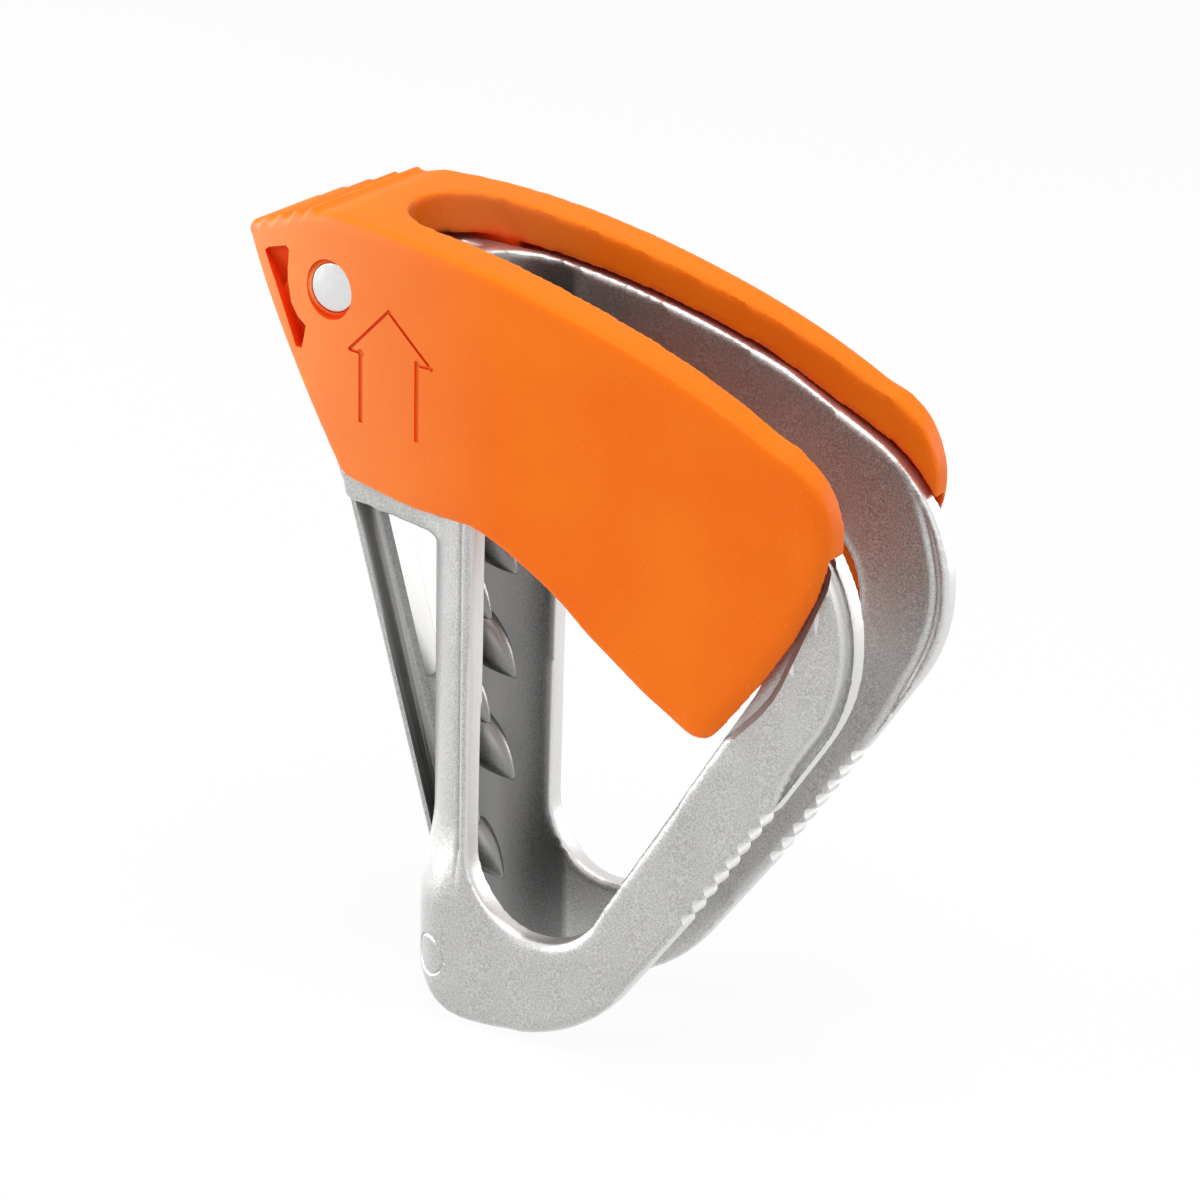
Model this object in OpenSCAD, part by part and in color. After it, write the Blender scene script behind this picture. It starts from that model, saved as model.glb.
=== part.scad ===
// Rope ascender: a toothed clamp for a single rope. +Z runs up the rope, +X points from
// the toothed wall to the open side, and Y runs across. The origin lies on the axis of
// the thickest rope, half way up the row of teeth.

/* [Rope channel] */
// Diameter of the thickest rope
rope_d = 11; // [8:0.5:11]
// Inner radius of the rope channel
channel_r = 5.6; // [5.55:0.05:5.8]
// Wall thickness of the rope channel
channel_wall = 1.6; // [1.2:0.1:2]
// Corner radius of the foot of the channel
foot_corner_r = 5; // [3:0.5:5.5]
// Height where the foot of the channel begins
foot_top_z = -8; // [-11:0.5:-6]

/* [Side plates] */
// Clear gap between the two side plates at the channel
plate_gap = 11.2; // [11.2:0.1:11.6]
// Angle at which each side plate leans outward from the channel
splay = 2.3; // [1.8:0.1:2.6]
// Thickness of each side plate
plate_t = 2.3; // [2:0.1:2.4]
// Width of the raised lip beside the channel
lip_w = 1.3; // [1:0.1:2]
// Radius of the round bend at the open side
bend_r = 14; // [13:0.5:15]
// Smallest width of the plate around the bend
bend_band = 7.2; // [5.5:0.1:8]
// Depth of the grip notches in the lower edge
notch_depth = 0.9; // [0.4:0.1:1.4]
// Number of grip notches in each plate
notch_count = 8; // [4:1:9]
// Distance from one grip notch to the next
notch_pitch = 1.75; // [1.4:0.05:1.8]

/* [Teeth] */
// Number of teeth in each of the two columns
tooth_rows = 4; // [2:1:4]
// Height from one tooth of a column to the next
tooth_pitch = 9.05; // [8:0.05:9.2]
// How much higher the left column stands than the right one
tooth_offset = 6.3; // [4.5:0.1:6.5]
// Sideways place of each column from the middle of the channel
tooth_stagger = 2; // [1.6:0.1:2.4]
// Length of a tooth from its root to its tip
tooth_len = 5.7; // [4.5:0.1:6]
// Radius of a tooth at its root
tooth_r = 1.9; // [1.4:0.1:2]
// Angle of a tooth below the horizontal
tooth_dip = 40; // [30:1:50]

/* [Head and fin] */
// Gap between the two pivot cheeks
cheek_gap = 7.6; // [7:0.1:8.4]
// Thickness of each pivot cheek
cheek_t = 2.2; // [1.8:0.1:2.4]
// Radius of the round top of the cheeks
cheek_r = 3.6; // [3.3:0.1:3.8]
// Thickness of the fin behind the channel
fin_t = 6.8; // [5:0.2:7.4]
// Width of the slanting rear wall at the top of the cord eye
fin_wall = 1.3; // [1.1:0.1:1.7]
// Width of the slanting rear wall at its foot
fin_wall_foot = 2; // [1.4:0.1:2.2]
// Thickness of the thin web under the cord eye
fin_web_t = 2; // [1.4:0.2:3]

/* [Lever] */
// Thickness of the lever's arms beside the plates
arm_t = 2.05; // [1.85:0.05:2.4]
// Half width of the lever at the nose
nose_half_w = 4.6; // [4:0.1:5]
// Length over which the lever tapers to the nose
nose_taper = 9.2; // [8:0.2:10]
// Thickness of the thumb pad
pad_t = 2.4; // [2:0.1:2.6]
// Number of ridges on the thumb pad
ridge_count = 5; // [3:1:5]
// Height of each ridge
ridge_h = 0.6; // [0.3:0.1:0.8]
// Half width of the slot at the end next to the pad
slot_half_w = 5.6; // [5.4:0.1:5.8]
// Widening of the slot for each millimetre of length
slot_flare = 0.062; // [0.04:0.002:0.07]
// How far the lever turns open, in degrees
open_angle = 30; // [20:1:30]
// Running gap between the lever and the frame
side_gap = 0.25; // [0.2:0.05:0.3]
// Gap between the closed lever and its stops
stop_gap = 0.3; // [0.2:0.05:0.5]

/* [Pivot] */
// Diameter of the pivot pin
pin_d = 4.1; // [3.6:0.1:4.2]
// Radial running clearance of the pin in the cheeks
pin_clearance = 0.05; // [0.03:0.01:0.09]
// How far each pin end sits below the lever's side
pin_recess = 0.7; // [0.4:0.1:1]
// Radial width of the relief round each pin end
relief_w = 0.4; // [0.3:0.05:0.6]
// Wire diameter of the return spring
wire_d = 0.8; // [0.6:0.1:0.9]
// Number of turns in the return spring
spring_turns = 4; // [3:1:5]
// Radial gap between the pin and the spring
spring_gap = 0.25; // [0.2:0.05:0.4]

/* [Hidden] */
$fn = 96;
far = 200;

// Places in the side view, as [x, z]
pivot = [-13, 36.5];
bend_at = [20.5, 15];
top_arc_at = [-15.5, -49.1];
top_arc_r = 74 + bend_r;
foot_corner_at = [-0.3, -17.4];
foot_bend_r = 7;
foot_arc_at = [2.4, -9.3];
foot_arc_r = 15;
limb_arc_at = [4.13, 1.27];
limb_arc_r = 20;
limb_angle = 56.2;
limb_normal = limb_angle - 90;
bend_end = 58;
notch_start = 8.5;
notch_land = 0.15;
notch_floor = 0.2;
notch_over = 0.15;
eye_low_at = [6.1, -8.9];
eye_far_at = [20, 13.7];
eye_top_at = [4.1, 26.5];
lever_arc_at = [-18.6, -47.6];
lever_arc_r = 90.5;

// Sizes that follow from the driving ones
channel_x = channel_r - rope_d / 2;
spine_r = channel_r + channel_wall;
plate_in = plate_gap / 2;
plate_out = plate_in + plate_t;
eye_low_r = 6.6;
lip_x = eye_low_at[0] - eye_low_r;
eye_far_r = bend_r - bend_band;
eye_top_r = 4;
splay_room = 0.7;
room_half_w = plate_out + side_gap + splay_room;
room_lean = 0.03;
room_from_r = 8.5;
lever_half_w = room_half_w + arm_t;
head_out = cheek_gap / 2 + cheek_t;
head_left = pivot[0] - cheek_r;
top_tooth_z = 11.6;
tooth_tip_r = 0.12;
tooth_waist_at = tooth_len * 0.45;
tooth_waist_r = tooth_r * 0.85;
tooth_bury = 0.6;
ledge_top = 20.6;
ledge_bottom = 17.5;
ledge_fall = 1.9;
web_top = 2.4;
head_bend_z = 26.6;
head_web_top = 29;
fin_tip_z = -8;
lever_foot = [-10.9, 22.6];
nose_x = -23.3;
slot_x = -5;
foot_left = -7;
ledge_end = lip_x - lip_w;
ledge_rear_x = -18;
ledge_waist_x = -14.5;
ledge_waist_w = 0.6;
ledge_neck_x = -6.5;
ledge_neck_w = 1.3;
web_left = fin_left(ledge_top) + 1.6;
head_bend_x = head_left + 0.9;
slot_floor_w = 0.35;
nose_room_w = nose_half_w - 2.2;
lever_tail_at = [21.8, 8.6];
lever_edge_at = [-9.5, -9.1];
lever_tip_at = [29.7, 24.5];
relief_depth = 10;
pad_low_z = 20;
orange = "#f27321";
metal = "#b9b9ba";

// Points along an arc, from one angle to another
function arc(c, r, a0, a1, n = 12) =
    [for (i = [0:n]) let (a = a0 + (a1 - a0) * i / n) [c[0] + r * cos(a), c[1] + r * sin(a)]];

// Angle of the outer normal where a belt leaves circle p for circle q, each [centre, radius]
function belt_angle(p, q) = let (d = q[0] - p[0])
    atan2(d[1], d[0]) - acos((p[1] - q[1]) / norm(d));

// Outline of a belt that runs counter-clockwise round a list of circles
function belt(list) = let (n = len(list)) [for (i = [0:n - 1])
    let (a0 = belt_angle(list[(i + n - 1) % n], list[i]),
        a1 = belt_angle(list[i], list[(i + 1) % n]),
        span = (a1 - a0) - 360 * floor((a1 - a0) / 360))
    each arc(list[i][0], list[i][1], a0, a0 + span, max(2, ceil(span / 7)))];

// Height of the top edge of the plates and of the lever at a given x
function plate_top(x) = top_arc_at[1] + sqrt(pow(top_arc_r, 2) - pow(x - top_arc_at[0], 2));
function lever_top(x) = lever_arc_at[1] + sqrt(pow(lever_arc_r, 2) - pow(x - lever_arc_at[0], 2));

// Half width of the lever, and of its slot, at a given x
function lever_w(x) = lever_half_w
    - (lever_half_w - nose_half_w) * exp(-(x - nose_x) / nose_taper);
function slot_w(x) = slot_half_w + slot_flare * (x - slot_x);

// Stretches a side-view outline from y0 to y1
module side(y0, y1) {
    rotate([90, 0, 0])
        translate([0, 0, -y1])
            linear_extrude(y1 - y0)
                children();
}

// The same outline on the front side, or on the rear side, of the mid plane
module cheeked(y0, y1, front) {
    if (front) side(-y1, -y0) children();
    else side(y0, y1) children();
}

// A side plate's outline as a plate that leans outward from the lip of the channel
module splayed(front) {
    s = front ? -1 : 1;
    translate([lip_x, s * plate_in, 0])
        rotate([0, 0, s * splay])
            translate([-lip_x, 0, 0])
                cheeked(0, plate_t, front) children();
}

// ---- Side view outlines ----
module plate_outline() {
    polygon(concat(
        arc(foot_corner_at, foot_bend_r, 180, 272, 10),
        arc(foot_arc_at, foot_arc_r, -88, -39, 8),
        arc(limb_arc_at, limb_arc_r, -38, limb_normal, 2),
        arc(bend_at, bend_r, limb_normal, bend_end, 16),
        [for (x = [20:-4:-12]) [x, plate_top(x)]],
        [[-12, 20]]));
}

module eye_outline() {
    polygon(belt([[eye_low_at, eye_low_r], [eye_far_at, eye_far_r], [eye_top_at, eye_top_r]]));
}

// Grip notches along the edge of the lower limb
module notches() {
    along = [cos(limb_angle), sin(limb_angle)];
    start = bend_at + bend_r * [cos(limb_normal), sin(limb_normal)] - notch_start * along;
    half = notch_pitch / 2;
    for (i = [0:notch_count - 1])
        translate(start - i * notch_pitch * along)
            rotate(limb_angle)
                polygon([[notch_land - half, -notch_over], [half - notch_land, -notch_over],
                    [half - notch_land, 0], [notch_floor, notch_depth],
                    [-notch_floor, notch_depth], [notch_land - half, 0]]);
}

module side_plate(front) {
    color(metal) difference() {
        splayed(front) difference() {
            plate_outline();
            eye_outline();
            notches();
            translate([lip_x - lip_w - far, -far / 2]) square(far);
        }
        spine_solid(spine_r);
        translate([lip_x - far, -far / 2, foot_top_z - far]) cube(far);
    }
}

// ---- Casting: channel, foot and teeth ----
module spine_solid(r) {
    translate([channel_x, 0, -40]) cylinder(h = 100, r = r);
}

module rope_channel() {
    color(metal) difference() {
        translate([channel_x, 0, foot_top_z]) cylinder(h = 60, r = spine_r);
        spine_solid(channel_r);
        translate([lip_x, -far / 2, -far / 2]) cube(far);
        side(-far, far) polygon(concat(
            [for (x = [-12:4:4]) [x, plate_top(x)]], [[4, far], [-12, far]]));
    }
}

// Section of the foot, seen from above: a channel with round outer corners
module foot_section() {
    difference() {
        polygon(concat(
            arc([foot_left + foot_corner_r, -plate_out + foot_corner_r], foot_corner_r, 180, 270),
            [[lip_x, -plate_out], [lip_x, plate_out]],
            arc([foot_left + foot_corner_r, plate_out - foot_corner_r], foot_corner_r, 90, 180)));
        translate([channel_x, 0]) circle(channel_r);
    }
}

module channel_foot() {
    color(metal) intersection() {
        translate([0, 0, foot_top_z - 30]) linear_extrude(30) foot_section();
        side(-plate_out, plate_out) plate_outline();
    }
}

// Teeth stand in two columns, each tooth pointing down and out of the channel wall
module tooth(row, left) {
    tip_z = top_tooth_z - row * tooth_pitch + (left ? tooth_offset : 0);
    root_x = channel_x - channel_r - tooth_bury;
    translate([root_x, (left ? -1 : 1) * tooth_stagger, tip_z + tooth_len * sin(tooth_dip)])
        rotate([0, 90 + tooth_dip, 0]) {
            cylinder(h = tooth_waist_at, r1 = tooth_r, r2 = tooth_waist_r, $fn = 24);
            translate([0, 0, tooth_waist_at])
                cylinder(h = tooth_len - tooth_waist_at, r1 = tooth_waist_r, r2 = tooth_tip_r, $fn = 24);
        }
}

module channel_teeth() {
    color(metal) intersection() {
        union() for (row = [0:tooth_rows - 1]) {
            tooth(row, false);
            tooth(row, true);
        }
        spine_solid(channel_r);
    }
}

// ---- Casting: head and fin ----
module head_outline() {
    polygon(concat(
        arc(pivot, cheek_r, 180, 60, 12),
        [for (x = [-10:3:2]) [x, plate_top(x) - 0.2]],
        [[2, ledge_face(ledge_top, 2)], [web_left, ledge_face(ledge_top, web_left)],
        [head_bend_x, head_bend_z]]));
}

module cheek(front) {
    color(metal) difference() {
        cheeked(cheek_gap / 2, head_out, front) head_outline();
        spine_solid(spine_r);
        translate([pivot[0], 0, pivot[1]])
            rotate([90, 0, 0])
                cylinder(h = far, r = pin_d / 2 + pin_clearance, center = true);
    }
}

// Left edge of the fin at a given height, and the slanting faces of the ledge at a given x
function fin_left(z) = -15 - (z - 19) * 0.277;
function ledge_face(z, x) = let (left = fin_left(z)) z - ledge_fall * (x - left) / (ledge_end - left);

// The ledge that the closed lever rests on: narrow at the rear, as wide as the channel in front
module lever_ledge() {
    color(metal) difference() {
        intersection() {
            side(-plate_out, plate_out) polygon([
                [fin_left(ledge_bottom), ledge_bottom], [ledge_end, ledge_bottom - ledge_fall],
                [ledge_end, ledge_top - ledge_fall], [fin_left(ledge_top), ledge_top]]);
            translate([0, 0, -50]) linear_extrude(100) polygon([
                [ledge_rear_x, -fin_t / 2], [ledge_waist_x, -fin_t / 2 - ledge_waist_w],
                [ledge_neck_x, -fin_t / 2 - ledge_neck_w], [lip_x, -spine_r],
                [lip_x, spine_r], [ledge_neck_x, fin_t / 2 + ledge_neck_w],
                [ledge_waist_x, fin_t / 2 + ledge_waist_w], [ledge_rear_x, fin_t / 2]]);
        }
        spine_solid(spine_r);
    }
}

// Rear wall between the two cheeks
module head_web() {
    color(metal) side(-cheek_gap / 2, cheek_gap / 2) polygon([
        [web_left, ledge_face(ledge_top, web_left)],
        [web_left + fin_wall, ledge_face(ledge_top, web_left + fin_wall)],
        [head_bend_x + fin_wall, head_bend_z], [head_bend_x + fin_wall, head_web_top],
        [head_bend_x, head_web_top], [head_bend_x, head_bend_z]]);
}

module fin_rear_wall() {
    color(metal) difference() {
        side(-fin_t / 2, fin_t / 2) polygon([
            [fin_left(ledge_bottom), ledge_bottom],
            [fin_left(ledge_bottom) + fin_wall,
                ledge_face(ledge_bottom, fin_left(ledge_bottom) + fin_wall)],
            [fin_left(web_top) + fin_wall_foot, web_top],
            [fin_left(fin_tip_z) + fin_wall_foot, fin_tip_z], [fin_left(fin_tip_z), fin_tip_z]]);
        spine_solid(spine_r);
    }
}

module fin_lower_web() {
    color(metal) difference() {
        side(-fin_web_t / 2, fin_web_t / 2) polygon([
            [fin_left(web_top) + fin_wall_foot, web_top], [0, web_top],
            [0, fin_tip_z], [fin_left(fin_tip_z) + fin_wall_foot, fin_tip_z]]);
        spine_solid(spine_r);
    }
}

// ---- Lever ----
module lever_outline() {
    polygon(concat(
        [[nose_x, 39.6], [nose_x + 0.1, 38.3]],
        arc(lever_foot, 1.4, 215, 262, 5),
        [[-4.5, ledge_top + stop_gap - 0.9], [1.2, 19.6]],
        arc(lever_edge_at, 30.6, 66, 46, 5),
        arc(lever_tail_at, 1.9, 230, 320, 6),
        [[25.1, 9.2], [27.6, 12.3], [30, 16], [31.8, 19.9]],
        arc(lever_tip_at, 3, -20, 58, 8),
        [for (x = [29:-3.5:-13]) [x, lever_top(x)]],
        [[-15.3, 42.6]]));
}

// Underside of the pad and of the rims that cover the plates
module under_cap_outline() {
    polygon(concat(
        [for (x = [-10:4:18]) [x, plate_top(x) + stop_gap]],
        arc(bend_at, bend_r + stop_gap, bend_end, 26, 8),
        [[60, 18], [60, -40], [-40, -40], [-40, 28]],
        [[nose_x + 1.2, 39.6 - pad_t - 0.9], [-16.5, 42 - pad_t],
        [-14, pivot[1] + cheek_r + 0.5], [-12, pivot[1] + cheek_r + 0.5]]));
}

module lever_plan(front) {
    s = front ? -1 : 1;
    translate([0, 0, -50]) linear_extrude(150) polygon(concat(
        [for (x = [nose_x:1.5:-5]) [x, s * lever_w(x)]],
        [[0, s * lever_w(0)], [12, s * lever_w(12)], [40, s * lever_w(40)], [40, 0], [nose_x, 0]]));
}

module slot_plan() {
    translate([0, 0, -50]) linear_extrude(150) union() {
        translate([slot_x, 0]) circle(slot_half_w);
        polygon([[slot_x, -slot_half_w], [60, -slot_w(60)], [60, slot_w(60)], [slot_x, slot_half_w]]);
    }
}

// Room inside the lever for the cheeks, and for the wider plates wherever they pass
module lever_room() {
    intersection() {
        side(-far, far) intersection() {
            under_cap_outline();
            for_sweep() translate([room_from_r, -far / 2]) square(far);
        }
        translate([0, 0, -50]) linear_extrude(150) polygon([
            [-40, -room_half_w + 40 * room_lean], [60, -room_half_w - 60 * room_lean],
            [60, room_half_w + 60 * room_lean], [-40, room_half_w - 40 * room_lean]]);
    }
    side(-pad_half_w, pad_half_w) difference() {
        under_cap_outline();
        nose_keep();
    }
    side(-nose_room_w, nose_room_w) under_cap_outline();
}

// What a shape round the pivot covers, seen from the lever, as the lever opens
module for_sweep() {
    for (turn = [0:open_angle / 4:open_angle])
        translate(pivot) rotate(-turn) children();
}

// Part of the nose that never meets the frame as the lever turns
module nose_keep() {
    translate(pivot) rotate(-open_angle) translate([-far - cheek_r - 0.5, -far / 2]) square([far, far]);
}

// Blind slot in the side of an arm, round the back of the pivot: deep in the solid nose and
// shallow beside the cheeks
module side_slot(front) {
    cheeked(nose_room_w + slot_floor_w, far, front) intersection() {
        side_slot_outline();
        nose_keep();
    }
    cheeked(pad_half_w + slot_floor_w, far, front) side_slot_outline();
}

module side_slot_outline() {
    difference() {
        polygon([[-20.6, 38.3], [-18.6, 39.1], [-12, 37], [-14, 29.6], [-16.9, 30.6], [-17.6, 31.6]]);
        translate(pivot) circle(4.9);
        polygon([[-16.3, 33.4], [-16.7, 30], [-10, 28], [-10, 34]]);
    }
}

module arm(front) {
    s = front ? -1 : 1;
    color(orange) difference() {
        intersection() {
            lever_plan(front);
            side(-far, far) lever_outline();
        }
        lever_room();
        slot_plan();
        pad_block();
        side_slot(front);
        translate([pivot[0], 0, pivot[1]])
            rotate([90, 0, 0])
                cylinder(h = far, r = pin_d / 2, center = true);
        translate([pivot[0], s * (pin_end), pivot[1]])
            rotate([front ? 90 : -90, 0, 0])
                cylinder(h = relief_depth, r = pin_d / 2 + relief_w);
    }
}

pad_half_w = head_out + side_gap;
module pad_block() {
    side(-pad_half_w, pad_half_w)
        translate([nose_x - 1, pad_low_z]) square([slot_x - nose_x + 1, far]);
}

module thumb_pad() {
    color(orange) difference() {
        intersection() {
            union() {
                lever_plan(true);
                lever_plan(false);
            }
            pad_block();
            side(-far, far) union() {
                lever_outline();
                ridges();
            }
        }
        lever_room();
        slot_plan();
        side_slot(true);
        side_slot(false);
    }
}

module ridges() {
    run = [-15.3, 42.6] - [nose_x, 39.6];
    step = norm(run) / ridge_count;
    intersection() {
        translate([nose_x, 39.6]) rotate(atan2(run[1], run[0])) union() {
            for (i = [0:ridge_count - 1])
                translate([(i + 0.5) * step, 0]) polygon([[-0.8, -0.5], [0.8, -0.5], [0, ridge_h]]);
        }
        translate([nose_x, 30]) square(20);
    }
}

// ---- Pivot ----
pin_end = lever_w(pivot[0]) - pin_recess;
module pivot_pin() {
    color("#e4e4e6") translate([pivot[0], 0, pivot[1]])
        rotate([90, 0, 0])
            cylinder(h = 2 * pin_end, r = pin_d / 2, center = true);
}

// The spring's wire: one end under the pad, the coil, then one end on the back of the channel
coil_r = pin_d / 2 + spring_gap + wire_d / 2;
coil_pitch = wire_d + 0.15;
coil_start = 95;
coil_turn = 360 * (spring_turns - 1) + 79;
coil_steps = 16 * spring_turns;
coil_len = coil_pitch * coil_turn / 360;
function coil_point(i) = let (a = coil_start - coil_turn * i / coil_steps)
    [pivot[0] + coil_r * cos(a), coil_len * (i / coil_steps - 0.5), pivot[1] + coil_r * sin(a)];
channel_back = channel_x - spine_r;
spring_path = concat(
    [[-20.2, -coil_len / 2, 36.85]],
    [for (i = [0:coil_steps]) coil_point(i)],
    [[channel_back - wire_d / 2 - 0.1, coil_len / 2, 27.5]]);

function unit(v) = v / norm(v);
function path_dir(p, i) = unit(p[min(i + 1, len(p) - 1)] - p[max(i - 1, 0)]);
function ring(p, i, r, n) = let (d = path_dir(p, i), u = unit(cross(d, [0, 1, 0.02])), v = cross(d, u))
    [for (k = [0:n - 1]) p[i] + r * (u * cos(360 * k / n) + v * sin(360 * k / n))];
module wire(p, r, n = 8) {
    m = len(p);
    polyhedron(
        points = [for (i = [0:m - 1]) each ring(p, i, r, n)],
        faces = concat(
            [[for (k = [0:n - 1]) k]],
            [for (i = [0:m - 2]) for (k = [0:n - 1])
                [i * n + k, (i + 1) * n + k, (i + 1) * n + (k + 1) % n, i * n + (k + 1) % n]],
            [[for (k = [n - 1:-1:0]) (m - 1) * n + k]]));
}

module return_spring() {
    color("#9a9a9c") wire(spring_path, wire_d / 2);
}

module front_plate() { side_plate(true); }
module rear_plate() { side_plate(false); }
module front_cheek() { cheek(true); }
module rear_cheek() { cheek(false); }
module lever_front_arm() { arm(true); }
module lever_rear_arm() { arm(false); }

rope_channel();
channel_foot();
channel_teeth();
front_plate();
rear_plate();
front_cheek();
rear_cheek();
head_web();
lever_ledge();
fin_rear_wall();
fin_lower_web();
lever_front_arm();
lever_rear_arm();
thumb_pad();
pivot_pin();
return_spring();
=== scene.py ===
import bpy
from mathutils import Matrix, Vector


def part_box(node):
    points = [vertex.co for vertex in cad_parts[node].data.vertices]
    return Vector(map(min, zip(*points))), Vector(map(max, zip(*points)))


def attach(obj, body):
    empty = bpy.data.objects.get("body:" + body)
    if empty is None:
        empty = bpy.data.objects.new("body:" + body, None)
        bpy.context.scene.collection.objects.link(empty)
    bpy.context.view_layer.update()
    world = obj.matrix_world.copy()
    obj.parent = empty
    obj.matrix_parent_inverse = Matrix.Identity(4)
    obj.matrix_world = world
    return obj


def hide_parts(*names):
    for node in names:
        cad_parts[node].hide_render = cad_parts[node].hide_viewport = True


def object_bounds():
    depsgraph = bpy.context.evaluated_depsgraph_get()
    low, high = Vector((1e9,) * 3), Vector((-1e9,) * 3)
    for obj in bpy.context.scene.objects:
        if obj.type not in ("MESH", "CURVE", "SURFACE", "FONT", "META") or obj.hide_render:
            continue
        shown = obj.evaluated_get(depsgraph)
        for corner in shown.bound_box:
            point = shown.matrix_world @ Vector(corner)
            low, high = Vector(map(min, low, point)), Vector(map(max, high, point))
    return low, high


bl_info = {
    "name": "Rope ascender finish",
    "version": (1, 0, 0),
    "blender": (4, 5, 0),
    "location": "View3D > Sidebar > Ascender",
    "description": "Builds the cast frame, moulded lever, pin and spring of a rope ascender",
    "category": "Object",
}

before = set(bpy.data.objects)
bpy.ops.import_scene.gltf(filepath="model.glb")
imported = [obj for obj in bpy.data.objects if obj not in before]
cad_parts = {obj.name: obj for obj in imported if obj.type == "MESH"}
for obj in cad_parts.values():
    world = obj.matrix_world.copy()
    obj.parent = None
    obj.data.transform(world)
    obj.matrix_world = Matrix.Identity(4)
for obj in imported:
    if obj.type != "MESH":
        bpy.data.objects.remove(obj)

from math import acos, atan2, ceil, cos, exp, hypot, pi, radians, sin, sqrt

import bmesh
import bpy
from bpy.props import FloatProperty, FloatVectorProperty, IntProperty, PointerProperty
from bpy.types import Operator, Panel, PropertyGroup
from mathutils import Matrix, Vector
from mathutils.kdtree import KDTree

CAD_BOX = [list(corner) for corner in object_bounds()]
MM = 0.001
SIDES = (-1, 1)


def in_mm(node):
    """Lowest and highest corner of a CAD node, in millimetres."""
    low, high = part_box(node)
    return low / MM, high / MM


PIN_LOW, PIN_HIGH = in_mm("pivot_pin")
PIVOT = ((PIN_LOW.x + PIN_HIGH.x) / 2, (PIN_LOW.z + PIN_HIGH.z) / 2)
PIN_RADIUS = (PIN_HIGH.x - PIN_LOW.x) / 2

# Sizes of the casting, in millimetres: most are the solids' own, some are fitted closer to the photo
CHANNEL_X, CHANNEL_R, CHANNEL_OUT, SPINE_LEFT = 0.1, 5.6, 7.15, -7.3
LIP_X, LIP_WIDTH = -0.5, 0.75
PLATE_IN, PLATE_T, SPLAY = 5.6, 2.3, radians(2.3)
EYE = (((6.1, -8.9), 6.6), ((20.0, 13.7), 6.8), ((4.1, 26.5), 4.0))
BEND_AT, BEND_R, LIMB_ANGLE = (20.5, 15.0), 14.0, radians(56.2)
LEDGE_TOP, LEDGE_BOTTOM, LEDGE_FALL, LEDGE_END = 20.6, 17.5, 1.9, -1.8
FIN_HALF_T, FIN_TIP_Z, WEB_TOP, WEB_HALF_T = 3.4, -13.5, 2.4, 1.25
FIN_RIM, FIN_WALL, FIN_FILLET = 0.55, 2.0, 1.1
CHEEK_IN, CHEEK_OUT, CHEEK_R = 3.8, 6.0, 3.6
NOTCHES, NOTCH_PITCH, NOTCH_DEPTH, NOTCH_START = 8, 1.75, 0.7, 8.5
TOOTH_ROWS, TOOTH_PITCH, TOOTH_OFFSET, TOP_TOOTH_Z = 4, 9.05, 6.3, 11.6
TOOTH_LENGTH, TOOTH_R, TOOTH_SIDE, TOOTH_DIP = 5.7, 2.15, 2.0, radians(40)
LAST_TOOTH_BACK = 0.9
# Relief of the casting that only this script draws: ejector mark, lip crease, seats and rim grooves
EJECTOR_AT, EJECTOR_AXIS, EJECTOR_R = Vector((-4.4, -7.3, -19.3)), Vector((-0.485, -0.875, 0)), 1.7
LIP_CREASE_X = -1.5
SEAT_DEPTH, SEAT_SLOPE, SEAT_GRID = 0.6, 1.2, 0.73
SEAT_EDGE, SEAT_RAMP = ((22, 4.6), (24.6, 6.9), (26.3, 8.7), (27.4, 10.15)), (28.0, 11.2)
RIM_IN, RIM_GROOVE, FAINT_GROOVE = 0.55, 0.75, 0.2
TAIL_IN, CREASE_DEPTH, MARK_DEPTH = 0.45, 0.4, 0.11
# How finely the casting is made
CASTING_TRIANGLES, FOOT_ROUNDS, EYE_ROUNDS = 185000, 40, 24

# Sizes of the lever
NOSE_X, SLOT_X, SLOT_HALF, SLOT_FLARE = -23.3, -4.5, 5.6, 0.062
LEVER_HALF, NOSE_HALF, NOSE_TAPER = 10.9, 4.6, 9.2
PAD_END = (-15.3, 42.2)
STOP_GAP, OPEN_ANGLE = 0.3, radians(30)
ROOM_HALF, ROOM_LEAN, ROOM_FROM, ROOM_GAP = 8.85, 0.03, 8.5, 0.12
END_AT, END_OUT, END_ROUNDS, INNER_ROUNDS = (25.0, 9.2), (0.848, 0.53), 85, 6
# Grip ridges: place of the crest and half its width
RIDGES = ((-22.7, 39.8, 4.9), (-20.9, 40.55, 5.9), (-18.95, 41.25, 6.8), (-17.0, 41.95, 7.6), (-15.3, 42.5, 8.1))
# Side slot: its outline and how far its floor lies from the middle, in the nose and beside the cheeks
SLOT_EDGE = [(-20.85, 37.95), (-20.3, 38.35), (-18.0, 39.05), (-17.6, 38.8), (-17.8, 37.9), (-17.75, 36.4)]
SLOT_EDGE += [(-17.35, 34.5), (-16.5, 33.5), (-15.6, 33.0), (-15.75, 32.3), (-16.1, 31.0), (-16.8, 31.0)]
SLOT_EDGE += [(-17.8, 32.9), (-19.2, 35.4)]
NOSE_FLOOR, CHEEK_FLOOR = 5.6, 6.32
ARROW_LINE, ARROW_LEG, ARROW_DEPTH = 0.26, 0.42, 0.175


# ---- Places and outlines, in millimetres, side view as (x, z) ----
def arc(centre, radius, start, end, steps=12):
    """Places along an arc, with angles in degrees."""
    turns = [radians(start + (end - start) * i / steps) for i in range(steps + 1)]
    return [(centre[0] + radius * cos(a), centre[1] + radius * sin(a)) for a in turns]


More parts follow.
